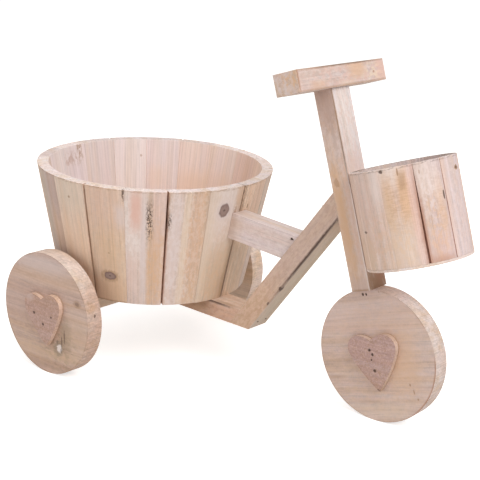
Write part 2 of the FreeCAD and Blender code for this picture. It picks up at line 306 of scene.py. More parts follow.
# %% [markdown]
# Raw fir, sawn and lightly planed, with a thin pale wash rubbed into it. Seen close it is a stack
# of stretched patterns: broad soft bands of tan and cream along the board, rosy clouds, thin darker
# lines of summer wood, fine fibres, and short flecks left across the grain by the saw. Each pattern
# is a noise read in the board's own axes, so it goes round every corner without a seam. A picture
# of wood would be quicker, but it would repeat and slip at the edges. The bands only shift a mean
# colour, so a board's tint stays easy to set. Scales are counts per metre along, across and through.

# %% Raw fir
tan_shift = (0.95, 0.87, 0.76)
pale_shift = (1.06, 1.10, 1.16)
rosy_shift = (1.02, 0.98, 1.01)
sway_scale = (6, 20, 20)
band_scale = (2, 80, 60)
rosy_scale = (5, 40, 40)
fibre_scale = (10, 700, 700)
mottle_scale = (90, 240, 240)
fleck_scale = (1000, 260, 260)
ridge_along = 3
sway_width = 4
line_width = 0.07
seed_step = (0.71, 0.37, 0.53)
band_limits = (0.32, 0.68)
rosy_limits = (0.42, 0.62)
rosy_share = 0.6
fibre_mean = 0.45
fibre_share = 0.36
mottle_share = 0.36
fleck_share = 0.24
fibre_height = 0.12
fleck_height = 0.08
mottle_height = 0.1
line_depth = 0.04
smoothest = 0.60
fibre_roughness = 0.2


class Finish:
    """What a surface looks like so far: its colour, roughness and height in millimetres."""

    def __init__(self, colour, roughness, height):
        self.colour = colour
        self.roughness = roughness
        self.height = height

    def stain(self, tone, share):
        self.colour = laid(self.colour, tone, share)

    def dent(self, share, depth):
        self.height = self.height - share * depth


def fir(place, seed, tint, strength=1.0, wave=1.0, summer=0.12, lines=240, lively=1.0):
    """Fir at a place along, across and through its board, round a mean colour."""
    spot = moved(place, [step * seed for step in seed_step])
    sway = (cloudy(spot, sway_scale, detail=1) - 0.5) * (sway_width * wave * mm)
    grain = moved(spot, sway.node("ShaderNodeCombineXYZ", {}, {1: sway, 2: sway}))
    band = between(cloudy(grain, band_scale, detail=3, roughness=0.55), *band_limits)
    band = (band - 0.5) * lively + 0.5
    rosy = between(cloudy(grain, rosy_scale, detail=3, away=(1, 2, 3)), *rosy_limits)
    ridge = cloudy(grain, (ridge_along, lines, lines), away=(5, 3, 8))
    line = 1.0 - between(abs(ridge - 0.5), 0.0, line_width)
    fibre = cloudy(grain, fibre_scale, roughness=0.6, away=(2, 9, 1))
    mottle = cloudy(spot, mottle_scale, detail=3, roughness=0.65, away=(6, 1, 9))
    fleck = cloudy(spot, fleck_scale, roughness=0.6, away=(2, 7, 4))
    shift = laid(tan_shift, pale_shift, band)
    shift = laid(shift, rosy_shift, rosy * rosy_share)
    rubbed = ((mottle - 0.5) * mottle_share + (fleck - 0.5) * fleck_share) * lively
    pattern = (fibre - fibre_mean) * fibre_share + rubbed - line * summer
    colour = tinted(scaled(shift, pattern * strength + 1.0), tint)
    roughness = smoothest + fibre * fibre_roughness
    height = fibre * fibre_height + fleck * fleck_height + mottle * mottle_height - line * line_depth
    return Finish(colour, roughness, height)


print("fir: bands", 1 / band_scale[0], "m long, flecks", 1 / (fleck_scale[0] * mm), "mm long")

# %% [markdown]
# Marks that each board has of its own. A band is a long stain along the grain, written as low and
# high along, low and high across, tone and share. A spot is an ellipse, for pin knots and dents,
# written as along, across, its two half sizes, tone and share. Knots have a dark ring, a brown core
# and a halo. A band can be broken by a noise into threads of resin, blotches of wash or strokes of
# dirt. One rough noise moves all edges, so that nothing looks ruled.

# %% Marks on a board
axis_along = (1, 0, 0)
axis_across = (0, 1, 0)
axis_through = (0, 0, 1)
edge_scale = (150, 380, 380)
band_soft = 0.34
band_ragged_along = 1.2
band_ragged_across = 1.4
spot_depth = 0.2
knot_depth = 0.25

# Parts of a knot: length and width as shares of the whole, ragged, soft, share of the tone.
halo_form = (1.45, 1.45, 1.2, 0.3, 0.6)
ring_form = (1.0, 1.0, 0.5, 0.15, 0.9)
core_form = (0.74, 0.74, 1.5, 0.35, 0.765)
pith_form = (0.16, 0.2, 0.8, 0.5, 0.72)

# Noises that break a band: their scale, and the level from which the mark shows.
thread_noise = ((220, 520, 520), 0.46)
blotch_noise = ((130, 230, 230), 0.48)
stroke_noise = ((600, 110, 110), 0.47)
break_step = (0.13, 0.29, 0)
break_soft = 0.08


def rough_edge(place):
    return cloudy(place, edge_scale, detail=3, roughness=0.6, away=(3.1, 1.7, 2.3)) - 0.5


def window(value, low, high, soft):
    """1 between two limits, with soft edges, all in millimetres."""
    value = value / mm
    return between(value, low - soft, low + soft) - between(value, high - soft, high + soft)


def band_mask(place, edge, low_along, high_along, low_across, high_across):
    """A soft, ragged strip of a board's face."""
    soft_along = band_soft * (high_along - low_along)
    soft_across = band_soft * (high_across - low_across)
    along = measured(place, axis_along) + edge * (band_ragged_along * soft_along * mm)
    across = measured(place, axis_across) + edge * (band_ragged_across * soft_across * mm)
    lengthways = window(along, low_along, high_along, soft_along)
    return lengthways * window(across, low_across, high_across, soft_across)


def spot_mask(place, edge, along, across, half_along, half_across, ragged=1.3, soft=0.25):
    """A ragged ellipse on a board's face."""
    lengthways = (measured(place, axis_along) - along * mm) / (half_along * mm)
    sideways = (measured(place, axis_across) - across * mm) / (half_across * mm)
    return 1.0 - between(length(lengthways, sideways) + edge * ragged, 1.0 - soft, 1.0 + soft)


def add_bands(finish, place, edge, bands, where):
    for *limits, tone, share in bands:
        finish.stain(tone, band_mask(place, edge, *limits) * where * share)


def add_spots(finish, place, edge, spots, where):
    for *ellipse, tone, share in spots:
        mask = spot_mask(place, edge, *ellipse) * where
        finish.stain(tone, mask * share)
        finish.dent(mask, spot_depth)


def add_knot(finish, place, edge, along, across, half_along, half_across, halo):
    """A dead knot: a halo, a dark ring, a brown core with a pith, and a slight hollow."""
    for tone, (longer, wider, ragged, soft, share) in (
            (halo, halo_form), (knot_ring, ring_form), (knot_core, core_form), (dark, pith_form)):
        mask = spot_mask(place, edge, along, across, longer * half_along, wider * half_across,
                         ragged, soft)
        finish.stain(tone, mask * share)
        if tone is knot_ring:
            finish.dent(mask, knot_depth)


def add_broken(finish, place, edge, bands, where, scale, low):
    """Bands that a noise breaks into threads, blotches or strokes."""
    for index, (*limits, tone, share) in enumerate(bands):
        away = [step * index for step in break_step]
        noise = cloudy(place, scale, detail=3, roughness=0.7, away=away)
        piece = between(noise, low, low + break_soft)
        finish.stain(tone, band_mask(place, edge, *limits) * piece * where * share)


def add_resin(finish, place, edge, bands, where):
    add_broken(finish, place, edge, bands, where, *thread_noise)


def add_blotches(finish, place, edge, bands, where):
    add_broken(finish, place, edge, bands, where, *blotch_noise)


def add_strokes(finish, place, edge, bands, where):
    add_broken(finish, place, edge, bands, where, *stroke_noise)


print("made bands, spots, knots, resin, blotches and dirt")

# %% [markdown]
# A short list of tones for all of those marks, named as a painter would name them. Each mark
# could have a colour of its own, but wood that has aged in one place shares its few colours.

# %% Tones
white_wash = (0.80, 0.70, 0.66)
lilac = (0.70, 0.59, 0.57)
putty = (0.70, 0.60, 0.49)
cream = (0.76, 0.61, 0.47)
tan = (0.68, 0.49, 0.34)
amber = (0.82, 0.57, 0.39)
orange = (0.68, 0.44, 0.28)
pink = (0.72, 0.52, 0.45)
salmon = (0.72, 0.45, 0.37)
mauve = (0.53, 0.38, 0.33)
olive = (0.54, 0.46, 0.36)
brown = (0.38, 0.23, 0.14)
russet = (0.40, 0.20, 0.13)
deep_olive = (0.30, 0.24, 0.18)
dark = (0.11, 0.07, 0.055)
knot_ring = (0.19, 0.12, 0.105)
knot_core = (0.35, 0.25, 0.22)
print("tones from", dark, "to", white_wash)

# %% [markdown]
# Every board gets its own material, because every board came from another part of a tree. The
# pattern is laid out in the board's own axes: object coordinates, less a starting point, measured
# along, across and through. The surface direction in the same axes tells faces, edges and sawn
# ends apart. Unwrapping 43 boards by hand would take longer and would show seams.

# %% Material of a board
face_limits = (0.5, 0.8)
joint_limits = (0.55, 0.9)


def new_material(name):
    material = bpy.data.materials.new(name)
    material.use_nodes = True
    material.node_tree.nodes.clear()
    return material


def board_axes(material, origin, along, across):
    """A place along, across and through a board, and its surface direction in the same axes."""
    wire = Wire(material.node_tree)
    ways = (along, across, along.cross(across))
    here = moved(wire.node("ShaderNodeTexCoord", {}, {}, "Object"), -origin)
    faces = wire.node("ShaderNodeTexCoord", {}, {}, "Normal")
    return in_axes(here, ways), in_axes(faces, ways)


def facing_share(facing, way):
    """1 on faces that look in a direction of the board's axes."""
    return between(measured(facing, way), *face_limits)


def both_ways_share(facing, way):
    """1 on faces that look in a direction or straight against it."""
    return between(abs(measured(facing, way)), *face_limits)


def joint_share(facing, side):
    """1 on a stave's bevelled edge, on its right (-1) or left (1) side."""
    return between(measured(facing, (0, side, 0)), *joint_limits)


def close_material(name, material, finish):
    """Joins a finish to a shader and puts it on the piece."""
    wire = finish.colour
    bump = wire.node("ShaderNodeBump", {}, {"Strength": 1.0, "Distance": mm, "Height": finish.height})
    shader = wire.node("ShaderNodeBsdfPrincipled", {}, {
        "Base Color": finish.colour, "Roughness": finish.roughness, "Normal": bump,
        "Specular IOR Level": 0.25})
    wire.node("ShaderNodeOutputMaterial", {}, {"Surface": shader})
    slots = nodes[name].data.materials
    slots.clear()
    slots.append(material)


print("made materials in a board's own axes")

# %% [markdown]
# The tub is coopered: eighteen staves, each a little wider at the top, bevelled to meet along
# their edges. One wood for all would look turned from a block, so each stave has its own tints:
# grey, tan and cream outside, pinker and cleaner inside, and palest on the rim, with painted shade
# darkening the rims of the far staves. Some joints have opened, and the bevels inside them are
# darker. The bevels of closed joints are painted pale instead: painted light that lifts the shade
# in their groove.

# %% Tub stave tints
stave_count = 18
stave_pitch = 2 * math.pi / stave_count
stave_outside = {
    13: (0.58, 0.45, 0.39), 14: (0.74, 0.57, 0.46), 15: (0.68, 0.51, 0.395), 16: (0.65, 0.51, 0.44),
    17: (0.65, 0.51, 0.42), 18: (0.61, 0.475, 0.39), 1: (0.8, 0.6, 0.455), 2: (0.66, 0.52, 0.43),
    3: (0.7, 0.53, 0.42), 4: (0.64, 0.5, 0.42), 5: (0.72, 0.55, 0.43), 6: (0.66, 0.51, 0.4),
    7: (0.69, 0.55, 0.47), 8: (0.64, 0.48, 0.38), 9: (0.71, 0.55, 0.44), 10: (0.66, 0.53, 0.46),
    11: (0.7, 0.52, 0.4), 12: (0.65, 0.51, 0.42),
}
stave_inside = {
    3: (0.85, 0.67, 0.55), 4: (0.81, 0.63, 0.54), 5: (0.82, 0.68, 0.62), 6: (0.8, 0.66, 0.6),
    7: (0.78, 0.67, 0.65), 8: (0.79, 0.7, 0.68), 9: (0.725, 0.63, 0.61), 10: (0.75, 0.67, 0.67),
    11: (0.8, 0.72, 0.7),
}
common_inside = (0.76, 0.63, 0.57)
near_rim = (0.78, 0.67, 0.625)
# Painted shade: the rims of the far staves are darker than the near ones.
far_rim_shade = (0.67, 0.565, 0.53)
far_rims = (6, 7, 8, 9, 11)
open_joint = (0.58, 0.34, 0.22)
# Painted light: a pale tone for the bevels of closed joints, lifting the shade in their groove.
closed_joint_painted_light = (0.92, 0.76, 0.65)
open_after = (2, 4, 7, 9, 11, 14, 16, 18)
print(len(stave_outside), "staves, with open joints after", open_after)

# %% [markdown]
# What makes a stave one of a kind is its marks: washes and stains along the grain, dirt beside a
# joint, threads of resin and a few knots. Chance could scatter them, but the eye remembers where a
# knot sits, so they are listed. Places are counted up from the stave's foot and across from its
# middle, and in the two tables of edges across from the joint.

# %% Tub stave marks
stave_bands = {
    13: [(50, 150, -26, -4, olive, 0.5), (40, 98, -2, 26, orange, 0.45), (100, 150, 2, 26, mauve, 0.3)],
    # Stave 14's two amber bands at its foot are partly its orange tone, partly painted light lifting the wheel's
    # shadow.
    14: [
        (106, 154, -26, 26, putty, 0.5), (0, 104, -26, 26, amber, 0.5), (-10, 44, -26, 26, amber, 0.5),
    ],
    15: [
        (92, 154, -22, 26, pink, 0.4), (100, 126, 14, 27, lilac, 0.6), (-5, 92, -26, 26, tan, 0.45),
        (-5, 30, -26, 26, orange, 0.45), (-1.5, 2, -26, 26, brown, 0.6),
    ],
    16: [
        (56, 156, -26, -2, white_wash, 0.5), (-5, 156, -6, 1.5, lilac, 0.65),
        (100, 146, -17.5, -5.0, salmon, 0.85), (10, 95, 4, 21, orange, 0.6),
        (85, 154, 9, 24, pink, 0.4), (18, 66, -23, -8, pink, 0.5),
    ],
    17: [
        (10, 156, -21, -5, lilac, 0.7), (-5, 154, -5, 3, cream, 0.5), (28, 136, 5, 21, salmon, 0.3),
        (-5, 150, 6, 23, tan, 0.35),
    ],
    18: [
        (-5, 156, -27, -10, cream, 0.6), (70, 170, -17, 21, white_wash, 0.7),
        (122, 156, 15, 27, orange, 0.5), (-10, 84, -9, 24, tan, 0.6), (6, 34, 9, 20, brown, 0.3),
    ],
    1: [(104, 156, 0, 26, pink, 0.3), (-5, 84, -26, 26, olive, 0.35)],
    3: [(-5, 150, -20, -6, white_wash, 0.5), (20, 120, 4, 18, orange, 0.5)],
    5: [(-5, 90, -24, 24, tan, 0.5), (60, 150, 2, 20, lilac, 0.5)],
    6: [(10, 150, -12, 4, cream, 0.5), (30, 110, 8, 20, salmon, 0.4)],
    8: [(-5, 150, 6, 20, white_wash, 0.5), (0, 80, -20, -4, orange, 0.5)],
    10: [(40, 150, -18, -2, pink, 0.5), (-5, 70, -22, 22, tan, 0.4)],
    12: [(-5, 150, -10, 6, lilac, 0.5), (20, 120, 10, 22, orange, 0.4)],
}
left_edges = {
    15: [(-5, 154, -1, 2.2, brown, 0.6), (-5, 60, -1, 6, brown, 0.4)],
    17: [(-5, 156, -1, 2.4, russet, 0.75), (90, 142, -1, 2.6, dark, 0.6)],
    1: [(-5, 156, -1, 4.5, brown, 0.5)],
    18: [(-5, 156, -1, 1.2, brown, 0.3)],
}
right_edges = {
    14: [(-5, 154, -1, 1.8, brown, 0.5)],
    18: [(-5, 64, -1, 6, brown, 0.5), (-5, 66, -1, 2.4, dark, 0.7), (90, 156, -1, 1.5, brown, 0.4)],
    16: [(-5, 110, -1, 1.6, russet, 0.5)],
}
stave_resin = {
    16: [(90, 130, 1.4, 8.2, dark, 1.0)],
    18: [(88, 122, 13, 19, brown, 0.7)],
    17: [(102, 118, -26, -19, dark, 1.0)],
    1: [(112, 156, -26, -19, dark, 0.45)],
    15: [(134, 150, 23, 27, dark, 1.0)],
}
stave_knots = {
    15: (34.0, 1.4, 5.0, 7.6, brown),
    18: (119.3, -1.8, 8.4, 7.4, lilac),
    12: (60.0, 4.0, 4.0, 5.0, brown),
}
stave_blotches = {
    16: [(40, 170, -28, 0, white_wash, 0.6), (-10, 120, 0, 24, orange, 0.6)],
    17: [
        (-10, 160, -24, -2, white_wash, 0.7), (-10, 160, 0, 24, orange, 0.7),
        (-10, 160, 0, 24, white_wash, 0.5),
    ],
    18: [
        (76, 116, -9, 14, white_wash, 0.8), (110, 150, -20, 14, white_wash, 0.5),
        (-20, 100, -18, 24, orange, 0.6), (-20, 100, -24, 24, olive, 0.4),
    ],
    14: [(0, 150, -26, 26, pink, 0.3)],
    15: [(30, 150, -24, 24, orange, 0.35)],
    1: [(0, 150, -26, 26, orange, 0.4)],
}
stave_spots = {
    14: [(125.4, -1.2, 1.6, 1.8, brown, 0.7)],
    15: [(64, 2, 0.9, 0.9, brown, 0.6)],
    1: [(118, -11, 3.0, 1.4, brown, 0.8)],
}
inside_spots = {
    8: [(125, -15, 1.4, 1.4, brown, 0.5)],
}
inside_blotches = {
    10: [(126, 150, -17, -8, brown, 0.75), (122, 138, -10, 20, mauve, 0.7)],
}
rim_line = (144.6, 150, -30, 30, brown, 0.8)
inside_bands = {
    4: [(90, 150, -12, 2, orange, 0.3)],
    5: [(80, 112, -26, 26, amber, 0.3)],
    6: [(70, 108, -26, 26, amber, 0.4)],
    7: [(80, 110, -5, 20, amber, 0.3)],
    10: [(120, 150, -17, 20, white_wash, 0.3)],
}
print(sum(len(bands) for bands in stave_bands.values()), "bands and", len(stave_knots), "knots")

# %% [markdown]
# Now the staves are dressed in turn. Each leans outwards, and so does its grain. The axes could be
# tilted for each stave. A shear is simpler, because heights stay heights and the marks stay put.

# %% Tub staves
low_half = 20.7
high_half = 25.8
low_radius = 117.5
high_radius = 146.5
stave_height = 146.6
gap_limits = (-0.3, 0.1)
stave_seed = 70
stave_seed_step = 7
outside_strength = 1.25
inside_weaker = 0.5
inside_calmer = 0.6


def from_joint(place, side):
    """The same place, measured across from a stave's left (1) or right (-1) joint."""
    along = measured(place, axis_along)
    half = along * ((high_half - low_half) / stave_height) + low_half * mm
    return joined(along, half + measured(place, axis_across) * side, measured(place, axis_through))


def leaned(place):
    """The same place, measured through from a stave's leaning face, so that grain runs up it."""
    along = measured(place, axis_along)
    through = measured(place, axis_through) + along * ((high_radius - low_radius) / stave_height)
    return joined(along, measured(place, axis_across), through)


for number in range(1, stave_count + 1):
    name = f"tub_stave_{number:02d}"
    material = new_material(name)
    turn = (number - 0.5) * stave_pitch
    sideways = left * math.cos(turn) - tub_ahead * math.sin(turn)
    place, facing = board_axes(material, tub_foot, tub_up, sideways)
    edge = rough_edge(place)
    inner = facing_share(facing, axis_through)
    outer = 1.0 - inner
    rim = facing_share(facing, axis_along)
    # Closed joints, and part of the bevel of open ones, get the pale tone of painted light.
    gap = laid(closed_joint_painted_light, open_joint, between(measured(facing, (0, 0, -1)), *gap_limits))
    before = gap if (number - 2) % stave_count + 1 in open_after else closed_joint_painted_light
    after = gap if number in open_after else closed_joint_painted_light
    tint = laid(stave_outside[number], stave_inside.get(number, common_inside), inner)
    # The far staves' rims get the darker tone of painted shade.
    tint = laid(tint, far_rim_shade if number in far_rims else near_rim, rim)
    tint = laid(tint, before, joint_share(facing, -1))
    tint = laid(tint, after, joint_share(facing, 1))
    finish = fir(leaned(place), stave_seed + stave_seed_step * number, tint,
                 strength=outside_strength - inner * inside_weaker,
                 lively=1.0 - inner * inside_calmer)
    add_blotches(finish, place, edge, stave_blotches.get(number, []), outer - rim)
    add_bands(finish, place, edge, stave_bands.get(number, []), outer - rim)
    add_bands(finish, from_joint(place, 1), edge, left_edges.get(number, []), outer - rim)
    add_bands(finish, from_joint(place, -1), edge, right_edges.get(number, []), outer - rim)
    add_bands(finish, place, edge, inside_bands.get(number, []), inner)
    add_resin(finish, place, edge, stave_resin.get(number, []), outer)
    add_spots(finish, place, edge, stave_spots.get(number, []), outer)
    add_spots(finish, place, edge, inside_spots.get(number, []), inner)
    add_blotches(finish, place, edge, inside_blotches.get(number, []), inner)
    add_strokes(finish, place, edge, [rim_line], outer - rim)
    if number in stave_knots:
        add_knot(finish, place, edge, *stave_knots[number])
    close_material(name, material, finish)
print("tub staves dressed")

# %% [markdown]
# The frame is planed stock: a beam across, a rail forward, a sloping strut, a short bar and the
# leaning post, with a block for a handlebar. Their grain runs down their length. Turned texture
# maps could do that too. Here a timber only names where it starts and which way its length and its
# width go. Three tints follow, for its side, its front and its sawn ends.

# %% Frame timbers
bar_way = climbing(math.radians(-6.6))
strut_way = climbing(math.radians(51.4))
timbers = {
    "rail": (axle, tub_ahead, tub_up),
    "axle_beam": (axle, left, tub_ahead),
    "strut": (hub, strut_way, strut_way.cross(left)),
    "top_bar": (hub, bar_way, bar_way.cross(left)),
    "steering_post": (hub, post_up, -post_ahead),
    "handlebar": (hub, left, post_up),
}
timber_tints = {
    "rail": ((0.6, 0.42, 0.32), (0.74, 0.56, 0.45), (0.6, 0.44, 0.35)),
    "axle_beam": ((0.76, 0.64, 0.54), (0.76, 0.64, 0.54), (0.6, 0.44, 0.35)),
    "strut": ((0.61, 0.45, 0.37), (0.62, 0.5, 0.41), (0.6, 0.44, 0.35)),
    "top_bar": ((0.72, 0.61, 0.58), (0.73, 0.62, 0.58), (0.62, 0.46, 0.38)),
    "steering_post": ((0.63, 0.48, 0.4), (0.72, 0.63, 0.6), (0.66, 0.52, 0.44)),
    "handlebar": ((0.6, 0.49, 0.46), (0.62, 0.52, 0.47), (0.62, 0.49, 0.42)),
}
print("timbers", list(timbers))

# %% [markdown]
# Marks on a timber's side are written along and across it, marks on its front or top along and
# through, and marks on its ends across and through. Many are worn corners, or dark lines where dirt
# stays between two timbers. Some are painted light: painted shade on the rail under the tub, on the
# post under the basket, and along the lower edges of the strut and the handlebar, and a pale line on
# the post's front corner that is partly a worn edge and partly a painted highlight. A worn edge
# could be found by the shader, but it would come out even.

# %% Timber marks
side_bands = {
    "rail": [
        # The brown band and the dark line near the top edge are painted shade under the tub's front.
        (90, 138, 6, 23, brown, 0.7), (132, 190, 0, 22, salmon, 0.3),
        (122, 164, 18.4, 21.6, dark, 0.85),
    ],
    "strut": [
        (-46, 106, 131, 160, mauve, 0.4), (-160, -46, 125, 166, orange, 0.4),
        # The dark line along the strut's lower edge is painted shade.
        (-44, 96, 131.4, 135.4, dark, 1.0),
    ],
    "top_bar": [(-230, -206, 67, 104, tan, 0.3), (-228, -215, 66, 104, brown, 0.3)],
    "steering_post": [
        (250, 312, -13, 13, mauve, 0.75), (212, 250, -13, 13, lilac, 0.4),
        (90, 212, -1, 11, orange, 0.85), (90, 212, -11, -4, pink, 0.5), (66, 88, -13, 13, mauve, 0.5),
        (72, 76, -13, 13, brown, 0.7), (190, 300, -13.6, -10.6, brown, 0.8),
        # The last band, pale wash on the post's front corner beside the basket, is partly a worn edge, partly a
        # painted highlight.
        (186, 240, -13.6, -10.8, dark, 0.8), (60, 205, -13.6, -10.6, white_wash, 0.9),
    ],
    "handlebar": [
        (16, 44, 302, 319, orange, 0.7), (-54, -30, 296, 304, orange, 0.4),
        (-4, 24, 293, 300, cream, 0.4), (66, 90, 293, 320, salmon, 0.5),
        # The brown line along the handlebar's lower edge is painted shade from its underside.
        (-90, 96, 293.2, 296.8, brown, 0.6), (-90, 96, 317.0, 320.6, brown, 0.6),
        (-30, 60, 317.4, 320.6, dark, 0.6), (-80, -70, 293, 320, pink, 0.4),
        (-78, -72.8, 298, 330, russet, 0.8), (-78, -73.2, 288, 326, brown, 0.5),
    ],
}
side_blotches = {
    "rail": [(90, 190, 0, 23, russet, 0.5), (90, 190, 0, 23, orange, 0.5)],
    "strut": [
        (-180, 140, 124, 166, brown, 0.3), (-180, 140, 124, 166, cream, 0.35),
        (-180, -40, 124, 166, brown, 0.4),
    ],
    "top_bar": [(-236, -120, 64, 106, white_wash, 0.4), (-236, -120, 64, 106, mauve, 0.2)],
    "steering_post": [
        (60, 340, -20, 20, orange, 0.5), (60, 340, -20, 20, lilac, 0.4),
        (200, 340, -20, 20, brown, 0.4),
    ],
    "handlebar": [
        (-100, 110, 284, 330, white_wash, 0.3), (-100, 110, 284, 330, mauve, 0.2),
        (-60, 110, 284, 330, salmon, 0.35), (46, 76, 296, 315, cream, 0.8),
    ],
}
side_spots = {
    "strut": [(-43, 134.2, 2.6, 1.8, dark, 0.9), (-71, 134.0, 2.4, 1.6, dark, 0.7)],
    "steering_post": [(194, 5, 5, 3.5, brown, 0.5)],
    "handlebar": [(61, 305.5, 6, 4.5, cream, 0.4), (61, 305.5, 1.8, 1.4, russet, 0.7)],
}
front_bands = {
    "rail": [(140, 180, 9, 17, brown, 0.6)],
    "strut": [
        # The first band, a dark line at the strut's lower edge, is painted shade.
        (-42, 84, 13.2, 18.8, dark, 0.95), (50, 95, -18, 14, tan, 0.5),
        (-124, 40, -18, 13, olive, 0.45),
    ],
    "steering_post": [
        (198, 222, -17, 17, pink, 0.4), (186, 300, 14.8, 17.4, brown, 0.6),
        # These two bands darken the post's front under the basket: partly stain, mostly painted shade.
        (46, 100, -20, 20, brown, 0.95), (80, 100, -20, 0, russet, 0.6),
    ],
    "top_bar": [(-224, -190, -13, 13, cream, 0.3)],
}
front_blotches = {
    "steering_post": [(180, 320, -20, 20, pink, 0.45), (180, 320, -20, 20, white_wash, 0.45)],
    "strut": [(-150, 100, -18, 18, olive, 0.4), (-150, 100, -18, 18, cream, 0.3)],
    "rail": [(130, 190, -18, 18, orange, 0.4)],
}
front_spots = {
    "strut": [(-43, 14.5, 4.5, 3.2, dark, 0.9)],
}
end_blotches = {
    "handlebar": [(297, 322, -6, 20, orange, 0.8), (288, 324, -22, 12, lilac, 0.6)],
}
print(sum(len(bands) for bands in side_bands.values()), "bands on the sides of timbers")

# %% [markdown]
# One loop dresses all timbers. The surface direction says which face is painted, so that a mark
# meant for the side does not run on to the front. A material for each face would do that too, but
# the grain would break at the corners.

# %% Timber finish
front_order = (axis_along, axis_through, axis_across)
end_order = (axis_across, axis_through, axis_along)
timber_seed = 101
timber_seed_step = 5
timber_strength = 0.9

for number, (name, (origin, way, across)) in enumerate(timbers.items()):
    material = new_material(name)
    place, facing = board_axes(material, origin, way, across)
    turned = in_axes(place, front_order)
    ended = in_axes(place, end_order)
    edge = rough_edge(place)
    side = facing_share(facing, axis_through)
    front = both_ways_share(facing, axis_across)
    ends = both_ways_share(facing, axis_along)
    side_tint, front_tint, end_tint = timber_tints[name]
    tint = laid(laid(side_tint, front_tint, front), end_tint, ends)
    finish = fir(place, timber_seed + timber_seed_step * number, tint, timber_strength)
    add_blotches(finish, place, edge, side_blotches.get(name, []), side)
    add_bands(finish, place, edge, side_bands.get(name, []), side)
    add_spots(finish, place, edge, side_spots.get(name, []), side)
    add_blotches(finish, turned, edge, front_blotches.get(name, []), front)
    add_bands(finish, turned, edge, front_bands.get(name, []), front)
    add_spots(finish, turned, edge, front_spots.get(name, []), front)
    add_blotches(finish, ended, edge, end_blotches.get(name, []), ends)
    close_material(name, material, finish)
print("frame timbers dressed")

# %% [markdown]
# The basket is ten thin staves nailed round a plate, one of them narrower than the others. They
# were picked less carefully than the tub's: pink, brown and grey boards side by side. A single
# pattern would hide how the basket was put together, so each stave has its own tint here too.

# %% Basket tints
basket_first = math.radians(-15.5)
basket_narrow = math.radians(31.3)
basket_count = 10
basket_wide = (2 * math.pi - basket_narrow) / (basket_count - 1)
basket_tints = {
    2: (0.68, 0.52, 0.44), 3: (0.62, 0.5, 0.45), 4: (0.7, 0.54, 0.45), 5: (0.64, 0.49, 0.42),
    7: (0.73, 0.57, 0.48), 8: (0.68, 0.54, 0.47), 9: (0.65, 0.51, 0.46), 10: (0.59, 0.475, 0.45),
    1: (0.625, 0.52, 0.505),
}
basket_common = (0.66, 0.52, 0.45)
basket_inside = (0.62, 0.52, 0.49)
basket_joint = (0.62, 0.30, 0.21)
basket_far = (2, 3, 4, 5, 6)
basket_rim = (0.72, 0.63, 0.60)
# Painted shade: the rims of the far staves are much darker than the near ones.
basket_far_rim_shade = (0.36, 0.29, 0.26)
basket_open = (3, 9, 10)
joint_fades = 70
joint_ends = 96
print(basket_count, "basket staves, with dark joints after", basket_open)

# %% [markdown]
# Red-brown stains run down beside the open joints, the saw has left strokes across two staves, and
# a dark line runs along the top of the rim. A noise could place stains anywhere. These belong to a
# joint or a corner, so they are listed stave by stave, as on the tub.

# %% Basket marks
basket_bands = {
    7: [(-5, 38, -20, 20, tan, 0.35)],
    8: [(66, 110, 5, 17, white_wash, 0.5), (-5, 38, -19, -5, tan, 0.5), (20, 90, -16, 4, pink, 0.3)],
    9: [
        (82, 114, -19, 8, white_wash, 0.75), (48, 96, -17, -4.5, orange, 0.65),
        (44, 99, -2, 11, orange, 0.9), (78, 96, 2, 8.5, brown, 0.5), (-5, 98, 14.4, 20.5, russet, 0.75),
        (6, 98, 9.0, 15, salmon, 0.45), (-5, 48, -19, 9, cream, 0.4), (44, 76, -19, -8, tan, 0.4),
    ],
    10: [
        (-8, 76, -18, -12.4, russet, 0.75), (-8, 6, -22, 12, russet, 0.6),
        (24, 84, 3, 12.6, orange, 0.5), (66, 110, -16, 10, white_wash, 0.35),
        (-5, 26, -14, 14, salmon, 0.25),
    ],
    1: [(-5, 110, -19.5, -12.5, pink, 0.5)],
}
basket_spots = {
    8: [(40, -14.7, 1.3, 2.8, dark, 0.7)],
    9: [(99.6, -15, 1.6, 2.0, dark, 0.9), (97, 2, 4.0, 0.8, brown, 0.8)],
    10: [(65, 12.9, 4.6, 1.0, dark, 0.9), (93, -10, 2.2, 0.8, brown, 0.5)],
    1: [(89, 8.4, 2.4, 4.8, brown, 0.95), (89, 8.4, 1.2, 2.4, dark, 0.8)],
}
basket_blotches = {
    7: [(0, 100, -18, 18, pink, 0.5)],
    8: [(10, 96, -18, 18, pink, 0.6), (0, 60, -18, 18, orange, 0.4)],
    9: [(0, 70, -18, 8, orange, 0.5), (50, 100, -18, 12, lilac, 0.6)],
    10: [(0, 70, -12, 12, orange, 0.5), (40, 100, -12, 12, lilac, 0.6)],
    1: [(0, 100, -18, 18, lilac, 0.5), (0, 100, -18, 18, pink, 0.3)],
}
basket_strokes = {
    9: [(40, 98, -17, 12, brown, 0.24)],
    10: [(24, 90, 0, 13, brown, 0.16)],
}
rim_dark_line = (100.9, 106, -40, 40, dark, 0.7)
print(sum(len(bands) for bands in basket_bands.values()), "bands on basket staves")

# %% [markdown]
# The staves are dressed in turn, round from the first joint. Equal staves could be found by
# counting. The last one is narrow, so widths are added up instead.

